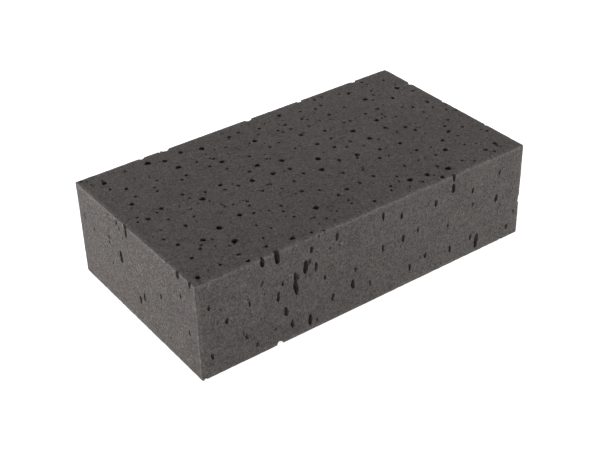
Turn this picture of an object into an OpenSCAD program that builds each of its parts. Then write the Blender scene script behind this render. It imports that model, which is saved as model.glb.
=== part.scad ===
// Grout sponge: a plain block of open-cell foam, sawn square, that wipes grout off tiles.
//
// Foam rises as it sets, and draws its largest bubbles out along the rise, which is
// +Z here. The saw opens the bubbles that it meets: the top and the underside cut
// across them and show round dots, and the four sides cut along them and show
// upright slits. Bubbles that no face opens stay shut inside and are left out.
//
// The block lies on its large face, with the origin at the centre of that face,
// the long side along X, the front at -Y and +Z up. All sizes are in millimetres.

/* [Block] */
// Length of the block, along X
block_l = 200; // [140:1:280]
// Width of the block, along Y
block_w = 112; // [80:1:160]
// Height of the block, along Z
block_h = 54; // [36:1:90]
// Radius that the sawn edges have
edge_r = 0.5; // [0.4:0.1:1.5]

/* [Blowholes] */
// Width of the narrowest slit scattered over the sides
slit_w_min = 1.5; // [1.2:0.1:1.8]
// Width of the widest slit scattered over the sides
slit_w_max = 2.6; // [2:0.1:3.2]
// Width of the narrowest dot scattered over the top and the underside
dot_w_min = 1.8; // [1.4:0.1:2.2]
// Width of the widest dot scattered over the top and the underside
dot_w_max = 3.6; // [2.4:0.1:4]
// Length of the stubbiest blowhole, in widths
stretch_min = 1.8; // [1.4:0.1:2.2]
// Length of the slimmest blowhole, in widths
stretch_max = 2.8; // [2.4:0.1:3]
// Steepest lean of a blowhole away from the rise, in degrees
lean_max = 7; // [0:1:10]
// Distance between the slits scattered over the sides
slit_pitch = 17; // [11:0.5:24]
// Distance between the dots scattered over the top and the underside
dot_pitch = 12; // [8:0.5:24]
// Band beside each edge that the scattered blowholes stay out of
edge_band = 2.5; // [2:0.5:10]
// Radius of the whole spot at the middle of the top and of the underside
whole_spot_r = 4; // [2:0.5:8]
// Number that the scatter is drawn from
scatter_seed = 41; // [1:1:999]

/* [Hidden] */
$fn = 24;

// How far a blowhole's middle lies behind the side that opens it, in widths
side_sink = 0.25;
// Share of a blowhole's width, and of its length, that shows in that side
open_w = 0.87;
open_l = 0.88;
// How far a blowhole's middle lies below the top or above the underside, in lengths
face_sink = 0.12;
// Least foam between a scattered blowhole and its neighbours
cell_wall = 0.6;
// Rings along half of a blowhole, from its middle to its blunt tip
outline_steps = [0, 0.58, 0.94];
// How full the outline is: 0.5 is an ellipse, and less is blunter
outline_power = 0.45;

// The few blowholes that stand out are placed by hand, and the rest are scattered.
// The front's: share along from the -X end and down from the top in percent of the
// face, then the opening's width and length.
large_front_slits = [
    [18, 5, 2.5, 6], [22, 5, 3, 10],       // open into the top edge
    [27, 34, 2.5, 6], [27, 45, 3, 9],      // one runs into the other
    [30, 28, 3, 8], [33, 33, 2, 5],
    [22, 48, 2, 6], [24, 66, 2.5, 6],
    [31, 88, 2.5, 7], [44, 70, 2.5, 6],
    [76, 3, 2, 5], [76, 15, 2.5, 6],       // the far pair under the top edge
    [85, 87, 2.5, 9],
    [22, 101, 4, 6], [100, 60, 2, 5]       // notches in the lower edge and the corner
];
// The same for the end at -X, which has no others, counted from the back
large_end_slits = [
    [38, 40, 3, 7], [45, 7, 2, 6], [52, 71, 2, 5], [56, 63, 2, 5], [88, 23, 1.5, 3]
];
// The top's: share along from the -X end and forward from the back in percent of the
// face, then width.
large_top_dots = [
    [19, 0, 3], [26, -0.5, 5], [52, -0.5, 5], [69, 0, 3.5], [88, 0, 3.5],
    [100, 20, 3.5], [100, 45, 2.5], [100, 75, 2.5],
    [0, 45, 2.5], [0, 87, 3], [0, 96, 2.5],
    [19, 6, 4], [77, 94, 4], [73, 98, 2.5], [15, 98, 2.5]
];

// A share of a face in percent, as a place in the block's own frame
function x_from_end(share) = (share / 100 - 0.5) * block_l;
function y_from_back(share) = (0.5 - share / 100) * block_w;
function z_from_top(share) = (1 - share / 100) * block_h;

// What is left of a side once the bands beside its edges are taken off
function inner(size) = size - 2 * edge_band;

// A blowhole is [[x, y, z] of its middle, width, length].
function length_of(width, roll) = width * (stretch_min + (stretch_max - stretch_min) * roll);

// One blowhole in each cell of a grid over a face a by b, as [a, b, width, length], most
// of them near the least of the widths given. On an upright face its length lies along
// b. On a level one it runs into the block.
function scatter(a, b, pitch, widths, upright, seed) =
    let (columns = max(1, round(a / pitch)), rows = max(1, round(b / pitch)))
    [for (i = [0 : columns - 1], j = [0 : rows - 1])
        let (roll = rands(0, 1, 4, seed + i * rows + j),
             width = widths[0] + (widths[1] - widths[0]) * roll[0] * roll[0],
             length = length_of(width, roll[1]),
             room_a = a / columns - width - 2 * cell_wall,
             room_b = b / rows - (upright ? length : width) - 2 * cell_wall)
        [(i + 0.5) * a / columns - a / 2 + (roll[2] - 0.5) * room_a,
         (j + 0.5) * b / rows - b / 2 + (roll[3] - 0.5) * room_b, width, length]];

// The scatter over a face of each kind
function side_scatter(run, seed) =
    scatter(inner(run), inner(block_h), slit_pitch, [slit_w_min, slit_w_max], true, seed);
function level_scatter(seed) =
    [for (s = scatter(inner(block_l), inner(block_w), dot_pitch, [dot_w_min, dot_w_max],
                      false, seed))
        if (norm([s[0], s[1]]) > whole_spot_r + s[2]) s];

// True where two blowholes would leave too little foam between them
function crowd(p, q) =
    norm([p[0][0] - q[0][0], p[0][1] - q[0][1]]) < (p[1] + q[1]) / 2 + cell_wall
    && abs(p[0][2] - q[0][2]) < (p[2] + q[2]) / 2 + cell_wall;

large_holes = concat(
    [for (s = large_front_slits)
        let (width = s[2] / open_w)
        [[x_from_end(s[0]), side_sink * width - block_w / 2, z_from_top(s[1])],
         width, s[3] / open_l]],
    [for (s = large_end_slits)
        let (width = s[2] / open_w)
        [[side_sink * width - block_l / 2, y_from_back(s[0]), z_from_top(s[1])],
         width, s[3] / open_l]],
    [for (d = large_top_dots)
        let (length = length_of(d[2], 0.5))
        [[x_from_end(d[0]), y_from_back(d[1]), block_h - face_sink * length],
         d[2], length]]
);

scattered_holes = concat(
    [for (s = side_scatter(block_l, scatter_seed))
        [[s[0], side_sink * s[2] - block_w / 2, block_h / 2 + s[1]], s[2], s[3]]],
    [for (s = side_scatter(block_l, scatter_seed + 1000))
        [[s[0], block_w / 2 - side_sink * s[2], block_h / 2 + s[1]], s[2], s[3]]],
    [for (s = side_scatter(block_w, scatter_seed + 2000))
        [[block_l / 2 - side_sink * s[2], s[0], block_h / 2 + s[1]], s[2], s[3]]],
    [for (s = level_scatter(scatter_seed + 3000))
        [[s[0], s[1], block_h - face_sink * s[3]], s[2], s[3]]],
    [for (s = level_scatter(scatter_seed + 4000))
        [[s[0], s[1], face_sink * s[3]], s[2], s[3]]]
);

holes = concat(large_holes, [for (hole = scattered_holes)
    if (len([for (large = large_holes) if (crowd(hole, large)) large]) == 0) hole]);

// A rectangle with round corners, centred
module rounded_rectangle(a, b) {
    square([a - 2 * edge_r, b], center = true);
    square([a, b - 2 * edge_r], center = true);
    for (side_a = [-1, 1], side_b = [-1, 1])
        translate([side_a * (a / 2 - edge_r), side_b * (b / 2 - edge_r)])
            circle(edge_r);
}

// The block as it leaves the saw, with all twelve edges rounded
module sawn_block()
    translate([0, 0, block_h / 2])
        intersection() {
            linear_extrude(block_h, center = true)
                rounded_rectangle(block_l, block_w);
            rotate([90, 0, 0])
                linear_extrude(block_w, center = true)
                    rounded_rectangle(block_l, block_h);
            rotate([0, 90, 0])
                linear_extrude(block_l, center = true)
                    rounded_rectangle(block_h, block_w);
        }

// A bubble drawn out along Z: widest at its middle and blunt at both tips
module blowhole(width, length) {
    last = len(outline_steps) - 1;
    rings = concat([for (i = [last : -1 : 1]) -outline_steps[i]], outline_steps);
    tip = outline_steps[last] * length / 2;
    rotate_extrude()
        polygon(concat(
            [[0, -tip]],
            [for (t = rings) [width / 2 * pow(1 - t * t, outline_power), t * length / 2]],
            [[0, tip]]));
}

// The whole sponge: the sawn block less every blowhole that a face opens
module foam_block()
    color([0.35, 0.33, 0.32])
        difference() {
            sawn_block();
            for (i = [0 : len(holes) - 1])
                translate(holes[i][0])
                    rotate(rands(-lean_max, lean_max, 2, scatter_seed + i))
                        blowhole(holes[i][1], holes[i][2]);
        }

foam_block();
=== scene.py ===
# %% [markdown]
# # A tiler's grout sponge
#
# The object is one block of open-cell foam, sawn square from a larger bun. It has no
# other pieces. What makes it look like foam and not like a brick is its surface: fine
# cells everywhere, bubbles of several sizes that the saw has opened, ragged edges, and
# a matt finish that lets no highlight through. Each of these gets its own step here.

# %% Load the fixed frame
import math

import bmesh
import bpy
from mathutils import Matrix, Vector


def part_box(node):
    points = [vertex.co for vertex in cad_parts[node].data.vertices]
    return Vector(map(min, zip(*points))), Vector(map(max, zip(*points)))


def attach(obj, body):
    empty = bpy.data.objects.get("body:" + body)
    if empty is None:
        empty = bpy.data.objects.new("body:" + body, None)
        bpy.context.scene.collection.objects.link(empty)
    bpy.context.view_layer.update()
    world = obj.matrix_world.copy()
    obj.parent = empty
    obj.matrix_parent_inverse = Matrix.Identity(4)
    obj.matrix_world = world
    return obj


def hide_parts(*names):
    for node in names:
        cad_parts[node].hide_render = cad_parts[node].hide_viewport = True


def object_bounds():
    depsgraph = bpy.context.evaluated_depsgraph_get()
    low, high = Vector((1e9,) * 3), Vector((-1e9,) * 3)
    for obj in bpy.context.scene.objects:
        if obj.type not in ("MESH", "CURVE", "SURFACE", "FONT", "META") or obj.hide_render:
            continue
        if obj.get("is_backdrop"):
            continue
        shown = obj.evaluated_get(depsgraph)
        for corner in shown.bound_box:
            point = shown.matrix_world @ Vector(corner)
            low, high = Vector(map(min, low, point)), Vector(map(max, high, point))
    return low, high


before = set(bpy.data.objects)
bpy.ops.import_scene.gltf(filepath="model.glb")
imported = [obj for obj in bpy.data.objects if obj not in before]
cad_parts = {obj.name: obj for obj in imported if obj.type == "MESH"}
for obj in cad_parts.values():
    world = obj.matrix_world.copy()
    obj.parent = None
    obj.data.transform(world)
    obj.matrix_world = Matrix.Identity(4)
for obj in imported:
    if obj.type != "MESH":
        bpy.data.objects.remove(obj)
cad_low, cad_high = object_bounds()
MM = 0.001

block_low, block_high = (Vector(corner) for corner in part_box("foam_block"))
block_size = block_high - block_low
block_middle = (block_low + block_high) / 2
half_size = block_size / 2
print("block", [round(side / MM, 1) for side in block_size], "mm")

# %% [markdown]
# ## Writing node trees as plain calls
#
# Geometry Nodes and materials are both trees of nodes joined by links. A few small
# helpers keep every tree below readable. The first adds a node and fills its sockets,
# whether with a value or with another node's output. The others write a calculation as
# a call, so that a rule can be read from left to right.


# %% Helpers for node trees
def add_node(tree, kind, inputs=None, **settings):
    """Adds a node, then sets its settings and fills its input sockets."""
    made = tree.nodes.new(kind)
    for name, value in settings.items():
        setattr(made, name, value)
    for key, value in (inputs or {}).items():
        if isinstance(value, bpy.types.NodeSocket):
            tree.links.new(value, made.inputs[key])
        else:
            made.inputs[key].default_value = value
    return made


def scalar(tree, operation, *values):
    """One Math node, as a call that returns its output."""
    sockets = dict(enumerate(values))
    return add_node(tree, "ShaderNodeMath", sockets, operation=operation).outputs[0]


def vector(tree, operation, *values, scale=None):
    """One Vector Math node. A plain number stands for the same number three times."""
    sockets = {}
    for place, value in enumerate(values):
        sockets[place] = (value,) * 3 if isinstance(value, (int, float)) else value
    if scale is not None:
        sockets["Scale"] = scale
    return add_node(tree, "ShaderNodeVectorMath", sockets, operation=operation).outputs["Vector"]


def thrice(tree, value):
    """A vector that holds one number three times."""
    return add_node(tree, "ShaderNodeCombineXYZ", {"X": value, "Y": value, "Z": value}).outputs[0]


def split(tree, value):
    """The three numbers in a vector."""
    return add_node(tree, "ShaderNodeSeparateXYZ", {0: value}).outputs[:3]


def smooth_step(tree, value, start, end, low=0.0, high=1.0):
    """Low up to start, high from end on, and a soft step between them."""
    inputs = {"Value": value, "From Min": start, "From Max": end, "To Min": low, "To Max": high}
    made = add_node(tree, "ShaderNodeMapRange", inputs, interpolation_type="SMOOTHSTEP")
    return made.outputs["Result"]


# %% [markdown]
# ## The foam's colour
#
# The foam is dyed charcoal right through, so the colour belongs to the solid and not to
# its skin. A texture that is worked out in the block's own space does the same: it runs
# on over every edge and down into every hole, and no unwrapping is needed.

# %% Start the foam material
FOAM_COLOUR = (0.112, 0.101, 0.0962)

foam = bpy.data.materials.new("charcoal_foam")
foam.use_nodes = True
foam.node_tree.nodes.clear()
paint = foam.node_tree
place = add_node(paint, "ShaderNodeTexCoord").outputs["Object"]
from_middle = vector(paint, "SUBTRACT", place, tuple(block_middle))
below_faces = vector(paint, "SUBTRACT", tuple(half_size), vector(paint, "ABSOLUTE", from_middle))
print("material", foam.name, "starts from", FOAM_COLOUR)


# %% [markdown]
# Two distances tell the paint where it is. The least of the three distances to the faces
# says how deep a point lies in a hole. The middle one says how near the closest edge is,
# because on a face the least is nothing and the next is the way to the edge.

# %% Depth in a hole and distance to an edge
def depth_and_edge(tree, distances):
    """The least and the middle one of three distances."""
    x, y, z = split(tree, distances)
    low_xy = scalar(tree, "MINIMUM", x, y)
    high_xy = scalar(tree, "MAXIMUM", x, y)
    least = scalar(tree, "MINIMUM", low_xy, z)
    middle = scalar(tree, "MAXIMUM", low_xy, scalar(tree, "MINIMUM", high_xy, z))
    return least, middle


hole_depth, edge_distance = depth_and_edge(paint, below_faces)
print("the paint knows the hole depth and the edge distance from", len(paint.nodes), "nodes")


# %% [markdown]
# ## The cells
#
# Under a lens, foam is a pile of tiny cages. Their struts catch the light, and the open
# windows between them look darker, because the eye sees in. A Voronoi pattern has the
# same layout: its walls are the struts and its middles are the windows. A little noise
# bends it first, since real cells are never so straight.

# %% Cells
CELL = 0.85 * MM


def noise(tree, at, size, detail=1.0):
    """A noise texture whose lumps are about this big."""
    inputs = {"Vector": at, "Scale": 1 / size, "Detail": detail}
    return add_node(tree, "ShaderNodeTexNoise", inputs).outputs


def cell_pattern(tree, at, size, **settings):
    """A Voronoi texture whose cells are about this big."""
    inputs = {"Vector": at, "Scale": 1 / size}
    return add_node(tree, "ShaderNodeTexVoronoi", inputs, **settings).outputs


wander = vector(paint, "SUBTRACT", noise(paint, place, 1.6 * CELL)["Color"], 0.5)
bent_place = vector(paint, "ADD", place, vector(paint, "SCALE", wander, scale=0.7 * CELL))
to_strut = cell_pattern(paint, bent_place, CELL, feature="DISTANCE_TO_EDGE")["Distance"]
cell_roll, fleck_roll, _ = split(paint, cell_pattern(paint, bent_place, CELL)["Color"])
open_window = smooth_step(paint, to_strut, 0.04, 0.34)
cells_along = round(block_size.x / CELL)
print("cells of", round(CELL / MM, 2), "mm, so about", cells_along, "along the block")

# %% [markdown]
# ## The tone
#
# The tone of real foam is never even. Each cell is a little lighter or darker than the
# next, a few struts glint, and the whole drifts slowly over some centimetres. The edges
# carry a painted highlight: the saw leaves loose strut ends there, and a paler band stands
# in for the light they catch. The bottoms of the holes get painted shade. All of these are
# multipliers near 1, so each can be set by itself.

# %% Tone
tones = {
    # painted highlight on the struts and painted shade in the open cell windows
    "window": smooth_step(paint, open_window, 0.0, 1.0, 1.22, 0.70),
    "cell": smooth_step(paint, cell_roll, 0.0, 1.0, 0.80, 1.20),
    "glinting strut": smooth_step(paint, fleck_roll, 0.965, 0.985, 1.0, 1.4),
    "mottling": smooth_step(paint, noise(paint, place, 9 * MM, 2.0)["Fac"], 0.3, 0.7, 0.95, 1.05),
    "slow drift": smooth_step(paint, noise(paint, place, 45 * MM)["Fac"], 0.3, 0.7, 0.97, 1.03),
    # painted highlight: paler towards the edges
    "painted edge highlight": smooth_step(paint, edge_distance, 0.0, 2.8 * MM, 1.36, 1.0),
    # painted shade: darker towards the bottom of a hole
    "painted hole shade": smooth_step(paint, hole_depth, 0.4 * MM, 1.6 * MM, 1.0, 0.60),
}
tone = 1.0
for factor in tones.values():
    tone = scalar(paint, "MULTIPLY", tone, factor)
# the foam's colour times the tone, with its painted highlights and painted shade
foam_colour_and_painted_light = vector(paint, "SCALE", FOAM_COLOUR, scale=tone)
print("tone made of", ", ".join(tones))

# %% [markdown]
# ## The finish
#
# Foam has no gloss: its surface is all edges and hollows, and they scatter light every
# way. So the finish is rough, with a weak reflection, and the bump gives each cell
# its hollow. The bump's height is a real one, a quarter of a millimetre.

# %% Finish the material
hollows = scalar(paint, "MULTIPLY", open_window, -0.8)
loose_ends = scalar(paint, "MULTIPLY", noise(paint, place, 0.5 * CELL, 2.0)["Fac"], 0.5)
relief = scalar(paint, "ADD", hollows, loose_ends)
cell_bump = add_node(
    paint, "ShaderNodeBump", {"Height": relief, "Distance": 0.25 * MM, "Strength": 0.8}
)
surface = add_node(
    paint,
    "ShaderNodeBsdfPrincipled",
    {
        "Base Color": foam_colour_and_painted_light,
        "Roughness": 0.95,
        "Specular IOR Level": 0.12,
        "Normal": cell_bump.outputs[0],
    },
)
add_node(paint, "ShaderNodeOutputMaterial", {"Surface": surface.outputs[0]})
print("foam material done, with", len(paint.nodes), "nodes")


# %% [markdown]
# ## A tree that makes the block
#
# The block could be sculpted by hand, or shaped in mesh code point by point. Geometry
# Nodes suit it better, because every part of it follows a rule: a net of faces, holes by
# chance, and a roughness. The tree's sizes are its inputs, so they can be changed in the
# modifier's panel, and its one random number is a fixed seed.

# %% Start the tree
def socket_type(value):
    """The kind of socket that holds a value."""
    return "NodeSocket" + {int: "Int", float: "Float"}.get(type(value), "Vector")


SIZES = {
    "Size": block_size,
    "Middle": block_middle,
    "Net": 1.45 * MM,
    "Crowding": 1.2 * MM,
    "Edge radius": 0.5 * MM,
    "Skin": 0.02 * MM,
    "Seed": 7,
}
shape = bpy.data.node_groups.new("open_cell_block", "GeometryNodeTree")
shape.interface.new_socket("Geometry", in_out="INPUT", socket_type="NodeSocketGeometry")
for label, value in SIZES.items():
    shape.interface.new_socket(label, in_out="INPUT", socket_type=socket_type(value))
shape.interface.new_socket("Geometry", in_out="OUTPUT", socket_type="NodeSocketGeometry")
given = shape.nodes.new("NodeGroupInput").outputs
half = vector(shape, "SCALE", given["Size"], scale=0.5)
position = add_node(shape, "GeometryNodeInputPosition").outputs[0]
print("tree inputs:", ", ".join(SIZES))


# %% [markdown]
# ## The block as a net of small faces
#
# The CAD solid's faces are flat and undivided, and foam needs something to crumble. So
# the tree first lays a net of small faces over a box of the same size. The rows crowd
# together towards the edges, where the shape turns. The rule for the crowding is
# d * d / (d + crowding), with d the distance to the edge: far away it changes nothing
# but a constant, and near the edge it draws the rows in.

# %% The net
def move_points(tree, geometry, **inputs):
    """Moves points, either to a Position or by an Offset."""
    return add_node(tree, "GeometryNodeSetPosition", {"Geometry": geometry, **inputs}).outputs[0]


counts = split(shape, vector(shape, "DIVIDE", given["Size"], given["Net"]))
net_sizes = {"Size": given["Size"]}
for axis, count in zip("XYZ", counts):
    net_sizes["Vertices " + axis] = count
net = add_node(shape, "GeometryNodeMeshCube", net_sizes).outputs["Mesh"]

inward = vector(shape, "SUBTRACT", half, vector(shape, "ABSOLUTE", position))
crowding = thrice(shape, given["Crowding"])
squared = vector(shape, "MULTIPLY", inward, inward)
crowded = vector(shape, "DIVIDE", squared, vector(shape, "ADD", inward, crowding))
stretch = vector(shape, "DIVIDE", vector(shape, "ADD", half, crowding), half)
outward = vector(shape, "SUBTRACT", half, vector(shape, "MULTIPLY", crowded, stretch))
side = vector(shape, "SIGN", position)
net = move_points(shape, net, Position=vector(shape, "MULTIPLY", outward, side))
print("net of", [round(side / SIZES["Net"]) for side in block_size], "points along the sides")

# %% [markdown]
# A round edge is where every point lies the same distance from a smaller box inside. So
# each point looks for the nearest place in that inner box, which is its own position cut
# off at the box's sides, and is set one edge radius away from it. On the flat of a face
# this only moves the net inwards by a hair, the size called Skin.

# %% Round the net's edges
reach = thrice(shape, scalar(shape, "ADD", given["Edge radius"], given["Skin"]))
core = vector(shape, "SUBTRACT", half, reach)
core_point = vector(shape, "MINIMUM", position, core)
core_point = vector(shape, "MAXIMUM", core_point, vector(shape, "SCALE", core, scale=-1.0))
away = vector(shape, "NORMALIZE", vector(shape, "SUBTRACT", position, core_point))
step_out = vector(shape, "SCALE", away, scale=given["Edge radius"])
net = move_points(shape, net, Position=vector(shape, "ADD", core_point, step_out))
net = move_points(shape, net, Offset=given["Middle"])
print("net's edges rounded to", round(SIZES["Edge radius"] / MM, 2), "mm")

# %% [markdown]
# ## The blowholes that the saw opened
#
# The largest holes are in the CAD solid already. The net keeps them by an intersection
# with it: what the two share is the net's fine skin with the solid's holes. The solid
# comes in as the tree's own geometry. It is a copy of the CAD node, because that node
# is loose triangles and must not be changed. The copy's points are merged, so that it
# closes, and the Decimate modifier thins out the walls of its holes.

# %% Copy, merge and thin the CAD solid
FACES_KEPT = 0.14  # as a share of the solid's faces

solid = bmesh.new()
solid.from_mesh(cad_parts["foam_block"].data)
bmesh.ops.remove_doubles(solid, verts=solid.verts, dist=0.001 * MM)
merged = bpy.data.meshes.new("merged_solid")
solid.to_mesh(merged)
open_edges = sum(not edge.is_manifold for edge in solid.edges)
solid.free()

thinner = bpy.data.objects.new("thinner", merged)
bpy.context.scene.collection.objects.link(thinner)
thinner.modifiers.new("fewer_faces", "DECIMATE").ratio = FACES_KEPT
depsgraph = bpy.context.evaluated_depsgraph_get()
thinned = bpy.data.meshes.new_from_object(thinner.evaluated_get(depsgraph))
bpy.data.objects.remove(thinner)
print("CAD solid of", len(merged.polygons), "faces with", open_edges, "open edges")
print("thinned to", len(thinned.polygons), "faces")

# %% [markdown]
# The boolean keeps what the net and the solid share. The net lies a hair inside the
# solid's flat faces, by the size called Skin, so that everywhere on the flat it is the
# net's small faces that stay, and only inside the holes the solid's.

# %% Cut the net by the solid
shared = add_node(shape, "GeometryNodeMeshBoolean", operation="INTERSECT", solver="MANIFOLD")
for mesh in (net, given["Geometry"]):
    shape.links.new(mesh, shared.inputs["Mesh 2"])
pierced = shared.outputs["Mesh"]
print("the net keeps the solid's holes, from", round(SIZES["Skin"] / MM, 2), "mm inside")


# %% [markdown]
# ## The smaller bubbles
#
# Between the blowholes lie many bubbles of a millimetre or so. They are scattered over
# the six faces by chance, more thickly on the level ones, which cut across more of them.
# Foam rises as it sets, so each bubble is a small ball drawn out upwards and tilted a
# little. How deep it sits is chance too: some are pits that hardly mark the face.

# %% Where the smaller bubbles lie
def roll(tree, low, high, seed):
    """A random number for each point."""
    made = add_node(tree, "FunctionNodeRandomValue", {"Seed": seed}, data_type="FLOAT")
    made.inputs[2].default_value = low
    made.inputs[3].default_value = high
    return made.outputs[1]


SIDE_BUBBLES = 4500.0  # on a square metre
LEVEL_BUBBLES = 17000.0

box = add_node(shape, "GeometryNodeMeshCube", {"Size": given["Size"]}).outputs["Mesh"]
box = move_points(shape, box, Offset=given["Middle"])
normal = add_node(shape, "GeometryNodeInputNormal").outputs[0]
level = scalar(shape, "ABSOLUTE", split(shape, normal)[2])
density = smooth_step(shape, level, 0.0, 1.0, SIDE_BUBBLES, LEVEL_BUBBLES)
scattered = add_node(
    shape,
    "GeometryNodeDistributePointsOnFaces",
    {"Mesh": box, "Density": density, "Seed": given["Seed"]},
)
sides_area = 2 * block_size.z * (block_size.x + block_size.y)
level_area = 2 * block_size.x * block_size.y
print("about", round(sides_area * SIDE_BUBBLES), "small bubbles on the sides and",
      round(level_area * LEVEL_BUBBLES), "on the level faces")

# %% [markdown]
# Each bubble draws its own width, length and depth. Squaring the first draw makes small
# bubbles common and large ones rare. On a side a bubble sinks by a share of its width,
# and on a level face, which cuts across it, by a share of its length.

# %% How wide, long and deep each one is
NARROWEST = 0.75 * MM
WIDEST = 1.8 * MM

small_ones_first = scalar(shape, "POWER", roll(shape, 0.0, 1.0, 1), 2.0)
width = smooth_step(shape, small_ones_first, 0.0, 1.0, NARROWEST, WIDEST)
length = scalar(shape, "MULTIPLY", width, roll(shape, 1.5, 2.6, 2))
facing = scattered.outputs["Normal"]
facing_level = scalar(shape, "ABSOLUTE", split(shape, facing)[2])
facing_side = scalar(shape, "SUBTRACT", 1.0, facing_level)
side_sink = scalar(shape, "MULTIPLY", width, roll(shape, -0.4, 0.3, 3))
level_sink = scalar(shape, "MULTIPLY", length, roll(shape, -0.3, 0.3, 4))
sink = scalar(
    shape,
    "ADD",
    scalar(shape, "MULTIPLY", side_sink, facing_side),
    scalar(shape, "MULTIPLY", level_sink, facing_level),
)
inwards = vector(shape, "SCALE", facing, scale=scalar(shape, "MULTIPLY", sink, -1.0))
bubble_points = move_points(shape, scattered.outputs["Points"], Offset=inwards)
print("bubbles from", round(NARROWEST / MM, 2), "to", round(WIDEST / MM, 2), "mm wide")

# %% [markdown]
# The bubbles stay instances: one ball of a few dozen faces, shown many times over. The
# boolean takes them all out at once, and only the result is made real.

# %% Take the smaller bubbles out
LEAN = 0.14  # radians either way

ball_sizes = {"Segments": 9, "Rings": 7, "Radius": 0.5}
ball = add_node(shape, "GeometryNodeMeshUVSphere", ball_sizes).outputs["Mesh"]
leans = {
    "X": roll(shape, -LEAN, LEAN, 5),
    "Y": roll(shape, -LEAN, LEAN, 6),
    "Z": roll(shape, 0.0, 6.0, 7),
}
lean = add_node(shape, "ShaderNodeCombineXYZ", leans).outputs[0]
drawn_out = {"X": width, "Y": width, "Z": length}
stretched = add_node(shape, "ShaderNodeCombineXYZ", drawn_out).outputs[0]
bubbles = add_node(
    shape,
    "GeometryNodeInstanceOnPoints",
    {"Points": bubble_points, "Instance": ball, "Rotation": lean, "Scale": stretched},
).outputs[0]
foam_shape = add_node(
    shape,
    "GeometryNodeMeshBoolean",
    {"Mesh 1": pierced, "Mesh 2": bubbles},
    operation="DIFFERENCE",
    solver="MANIFOLD",
).outputs["Mesh"]
print("bubbles lean up to", round(math.degrees(LEAN)), "degrees and are taken out of the net")

# %% [markdown]
# ## Torn rims
#
# A true ball or spindle leaves a clean round hole, and foam tears. The whole block is
# therefore pushed about by a noise with lumps a little smaller than the holes. Near a
# face the push across it fades out, so that the face stays flat and the block's outline
# stays straight, and only the rims of the holes wander.

# %% Tear the rims
TEAR = 1.8 * MM
FREE_BELOW = 1.5 * MM
RIM_LUMPS = 1.7 * MM

below = vector(shape, "SUBTRACT", position, given["Middle"])
below = vector(shape, "SUBTRACT", half, vector(shape, "ABSOLUTE", below))
free = [smooth_step(shape, distance, 0.0, FREE_BELOW) for distance in split(shape, below)]
free = add_node(shape, "ShaderNodeCombineXYZ", dict(zip("XYZ", free))).outputs[0]
push = vector(shape, "SUBTRACT", noise(shape, position, RIM_LUMPS)["Color"], 0.5)
push = vector(shape, "SCALE", vector(shape, "MULTIPLY", push, free), scale=TEAR)
foam_shape = move_points(shape, foam_shape, Offset=push)
print("rims pushed about by a noise with lumps of", round(RIM_LUMPS / MM, 2), "mm")

# %% [markdown]
# ## A crumbly skin
#
# A second, weaker noise moves each point along its own normal. It is stronger at the
# edges, where bits of foam break away, and it only ever pushes a point against its
# normal: crumbs fall off a block, and none grow on it. At a few points the normal leans
# into the block, so the same push moves them out of it, by 0.03 mm at most, and by
# 0.02 mm at the underside. Last, the walls of the holes are shaded smooth, and wherever
# the surface turns sharply, as at a rim, the crease stays.

# %% Crumble the skin and finish the tree
EDGE_CRUMBLE = 0.5 * MM
FACE_CRUMBLE = 0.22 * MM
CRUMB_LUMPS = 2.4 * MM
CREASE = math.radians(38)

_, way_to_edge = depth_and_edge(shape, below)
roughness = smooth_step(shape, way_to_edge, 0.0, 2.5 * MM, EDGE_CRUMBLE, FACE_CRUMBLE)
lost = scalar(shape, "SUBTRACT", noise(shape, position, CRUMB_LUMPS, 2.0)["Fac"], 0.56)
lost = scalar(shape, "MINIMUM", lost, 0.0)
crumble = scalar(shape, "MULTIPLY", roughness, lost)
foam_shape = move_points(shape, foam_shape, Offset=vector(shape, "SCALE", normal, scale=crumble))

turn = add_node(shape, "GeometryNodeInputMeshEdgeAngle").outputs["Unsigned Angle"]
soft = add_node(
    shape, "FunctionNodeCompare", {0: turn, 1: CREASE}, operation="LESS_THAN"
).outputs[0]
shaded = add_node(
    shape,
    "GeometryNodeSetShadeSmooth",
    {"Geometry": foam_shape, "Shade Smooth": soft},
    domain="EDGE",
).outputs[0]
real = add_node(shape, "GeometryNodeRealizeInstances", {"Geometry": shaded}).outputs[0]
painted = add_node(shape, "GeometryNodeSetMaterial", {"Geometry": real, "Material": foam})
add_node(shape, "NodeGroupOutput", {0: painted.outputs[0]})
print("tree", shape.name, "has", len(shape.nodes), "nodes")


# %% [markdown]
# ## Run the tree once
#
# A modifier would run the tree again on every redraw. Here it runs once, on an object
# that only carries it, and the result is kept as a plain mesh. Each input is set by its
# socket's identifier before the object is first evaluated.

# %% Make the sponge
def run_tree(name, tree, sizes, start_mesh):
    """Runs a tree on a mesh and returns what it makes as a plain mesh object."""
    carrier = bpy.data.objects.new(name + "_carrier", start_mesh)
    bpy.context.scene.collection.objects.link(carrier)
    modifier = carrier.modifiers.new(name, "NODES")
    modifier.node_group = tree
    for item in tree.interface.items_tree:
        if item.in_out == "INPUT" and item.name in sizes:
            modifier[item.identifier] = sizes[item.name]
    evaluated = carrier.evaluated_get(bpy.context.evaluated_depsgraph_get())
    mesh = bpy.data.meshes.new_from_object(evaluated)
    mesh.name = name
    bpy.data.objects.remove(carrier)
    made = bpy.data.objects.new(name, mesh)
    bpy.context.scene.collection.objects.link(made)
    return made


sponge = run_tree("foam_block_cells", shape, SIZES, thinned)
sponge.data.calc_loop_triangles()
print(sponge.name, "has", len(sponge.data.loop_triangles), "triangles")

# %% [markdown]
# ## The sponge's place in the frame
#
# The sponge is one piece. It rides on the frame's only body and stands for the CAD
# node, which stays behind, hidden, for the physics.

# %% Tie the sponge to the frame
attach(sponge, "root")
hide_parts("foam_block")
print(sponge.name, "rides on root and stands for foam_block")

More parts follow.
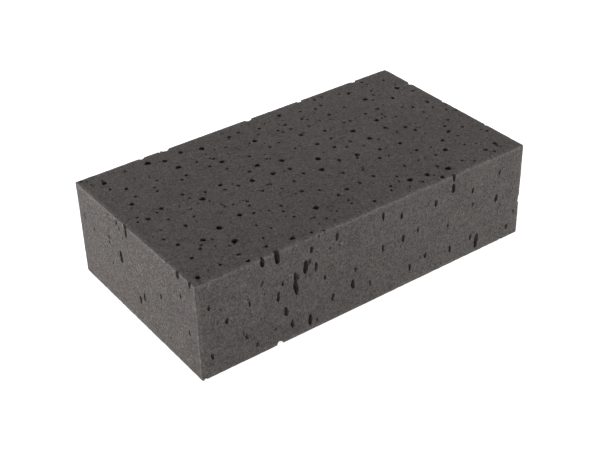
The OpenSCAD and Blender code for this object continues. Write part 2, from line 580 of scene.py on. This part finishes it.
# %% [markdown]
# ## Floor and backdrop
#
# The sponge lies on a plain white floor. A floor can look pure white only if it is
# flooded with light, and that light would wash out the foam as well. So the floor and
# the world add their own white, but only for rays that go straight to the eye, or that
# reach it off something shiny. The light that falls on the foam knows nothing of it.
# Close to the block the floor adds a little less than white, so that it still shows the
# block's shadow, and it reaches full white further out, where the lamps don't.

# %% Floor and world
WHITE = (1.0, 1.0, 1.0, 1.0)
FLOOR_COLOUR = (0.82, 0.82, 0.82, 1.0)
GLOW_NEAR = 0.86
GLOW_FAR = 1.0
NEAR = 0.35  # metres from the block's middle
FAR = 0.9
FLOOR_HALF = 6.0
SKY = 0.10


def seen(tree):
    """1 for rays that the camera sees straight or mirrored, and 0 for all others."""
    path = add_node(tree, "ShaderNodeLightPath").outputs
    mirrored = scalar(tree, "MAXIMUM", path["Is Glossy Ray"], path["Is Transmission Ray"])
    return scalar(tree, "MAXIMUM", path["Is Camera Ray"], mirrored)


floor_paint = bpy.data.materials.new("studio_floor")
floor_paint.use_nodes = True
floor_tree = floor_paint.node_tree
floor_tree.nodes.clear()
lit = add_node(floor_tree, "ShaderNodeBsdfDiffuse", {"Color": FLOOR_COLOUR}).outputs[0]
floor_place = add_node(floor_tree, "ShaderNodeTexCoord").outputs["Object"]
far_out = add_node(floor_tree, "ShaderNodeVectorMath", {0: floor_place}, operation="LENGTH")
white = smooth_step(floor_tree, far_out.outputs["Value"], NEAR, FAR, GLOW_NEAR, GLOW_FAR)
strength = scalar(floor_tree, "MULTIPLY", seen(floor_tree), white)
glow = add_node(floor_tree, "ShaderNodeEmission", {"Color": WHITE, "Strength": strength}).outputs[0]
both = add_node(floor_tree, "ShaderNodeAddShader", {0: lit, 1: glow}).outputs[0]
add_node(floor_tree, "ShaderNodeOutputMaterial", {"Surface": both})

corners = [(x * FLOOR_HALF, y * FLOOR_HALF, 0.0) for x, y in ((-1, -1), (1, -1), (1, 1), (-1, 1))]
floor_mesh = bpy.data.meshes.new("studio_floor")
floor_mesh.from_pydata(corners, [], [(0, 1, 2, 3)])
floor_mesh.materials.append(floor_paint)
floor = bpy.data.objects.new("studio_floor", floor_mesh)
bpy.context.scene.collection.objects.link(floor)
floor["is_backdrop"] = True

world = bpy.data.worlds.new("studio")
world.use_nodes = True
sky_tree = world.node_tree
sky_tree.nodes.clear()
brightness = scalar(sky_tree, "MAXIMUM", seen(sky_tree), SKY)
sky = add_node(sky_tree, "ShaderNodeBackground", {"Color": WHITE, "Strength": brightness})
add_node(sky_tree, "ShaderNodeOutputWorld", {"Surface": sky.outputs[0]})
bpy.context.scene.world = world
print("floor", 2 * FLOOR_HALF, "m wide, sky at", SKY)


# %% [markdown]
# ## Lamps
#
# Dark foam is easiest to read when its three visible faces differ in tone. Two low
# softboxes do that: one off the left end, which is the brightest face, and one off the
# right front. They are low, so the top, which they only graze, stays the
# darkest, and the grazing light picks out its holes. Two weak ones help: one keeps the
# near upright edge from going dark, and one fills the top from behind. The powers are
# chosen so that a colour renders about as it is written.

# %% Lamps
def softbox(name, place, width, watts):
    """A square area lamp that faces the middle of the block."""
    lamp = bpy.data.lights.new(name, "AREA")
    lamp.size = width
    lamp.energy = watts
    made = bpy.data.objects.new(name, lamp)
    bpy.context.scene.collection.objects.link(made)
    made.location = place
    made.rotation_euler = (block_middle - Vector(place)).to_track_quat("-Z", "Y").to_euler()
    print(name, "of", watts, "W,", round((block_middle - Vector(place)).length, 2), "m away")


softbox("left_softbox", (-0.60, 0.60, 0.20), 0.4, 8.4)
softbox("right_softbox", (0.80, -0.45, 0.18), 0.4, 8.4)
softbox("near_softbox", (-0.70, -0.60, 0.20), 0.4, 1.8)
softbox("back_softbox", (0.40, 0.45, 0.30), 0.4, 1.0)

# %% [markdown]
# ## Camera
#
# The camera looks down on the near left corner through a long lens, which keeps the
# block's edges nearly parallel. Its distance and its shifts are in block lengths, so it
# would frame a block of another size the same way.

# %% Camera
AZIMUTH, ELEVATION, ROLL = (math.radians(angle) for angle in (-35.35, 33.60, -1.58))
DISTANCE, ASIDE, DOWN = 3.233, 0.014, 0.068
LENS = 73.08

back = Vector(
    (
        math.sin(AZIMUTH) * math.cos(ELEVATION),
        -math.cos(AZIMUTH) * math.cos(ELEVATION),
        math.sin(ELEVATION),
    )
)
right = Vector((math.cos(AZIMUTH), math.sin(AZIMUTH), 0.0))
up = back.cross(right)
camera_right = math.cos(ROLL) * right + math.sin(ROLL) * up
camera_up = math.cos(ROLL) * up - math.sin(ROLL) * right

camera_data = bpy.data.cameras.new("camera")
camera_data.lens = LENS
camera_data.clip_start = 0.05
camera_data.clip_end = 50.0
camera = bpy.data.objects.new("camera", camera_data)
bpy.context.scene.collection.objects.link(camera)
spot = block_size.x * (DISTANCE * back - ASIDE * camera_right + DOWN * camera_up)
turned = Matrix((camera_right, camera_up, back)).transposed().to_4x4()
camera.matrix_world = Matrix.Translation(spot) @ turned
bpy.context.scene.camera = camera
bpy.context.scene.view_settings.view_transform = "Standard"
print("camera", round(spot.length, 2), "m from the block, lens", LENS, "mm")

# %% [markdown]
# ## Check the size and finish
#
# The finished sponge has to stay the size of the CAD solid, so the furthest that any side
# of its box lies from the CAD solid's is printed.

# %% Finish
new_low, new_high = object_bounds()
moved = [new - old for new, old in zip((*new_low, *new_high), (*cad_low, *cad_high))]
print("no side lies further than", round(max(map(abs, moved)) / MM, 2), "mm from the CAD solid's")
